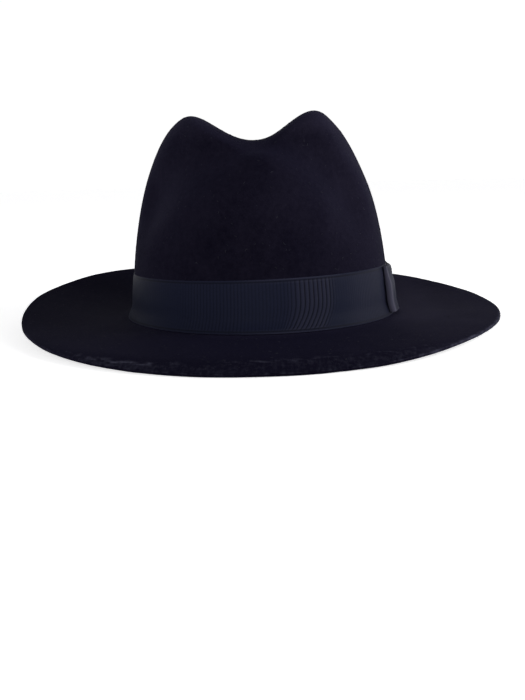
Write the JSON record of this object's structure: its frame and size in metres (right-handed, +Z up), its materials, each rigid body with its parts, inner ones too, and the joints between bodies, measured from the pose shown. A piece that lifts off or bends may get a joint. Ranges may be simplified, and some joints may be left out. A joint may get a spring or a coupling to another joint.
{
  "type": "felt fedora hat",
  "caption": "Wool-felt hat with a creased crown, a wide brim snapped down at the front, and a ribbed ribbon with a flat side bow.",
  "frame": {"origin": "on the resting plane, under the middle of the brim's outline", "axes": "+Z up from the resting plane, -Y towards the hat's front, +X towards the hat's own left side, where the bow is"},
  "size_m": [0.308, 0.3346, 0.1311],
  "materials": {
    "wool_felt": "matte pressed wool felt with a short worn nap",
    "ribbon": "ribbed grosgrain with a faint sheen"
  },
  "bodies": {
    "root": {"felt_body": "wool_felt", "ribbon_band": "ribbon", "bow_loop": "ribbon", "bow_knot": "ribbon"}
  },
  "joints": []
}
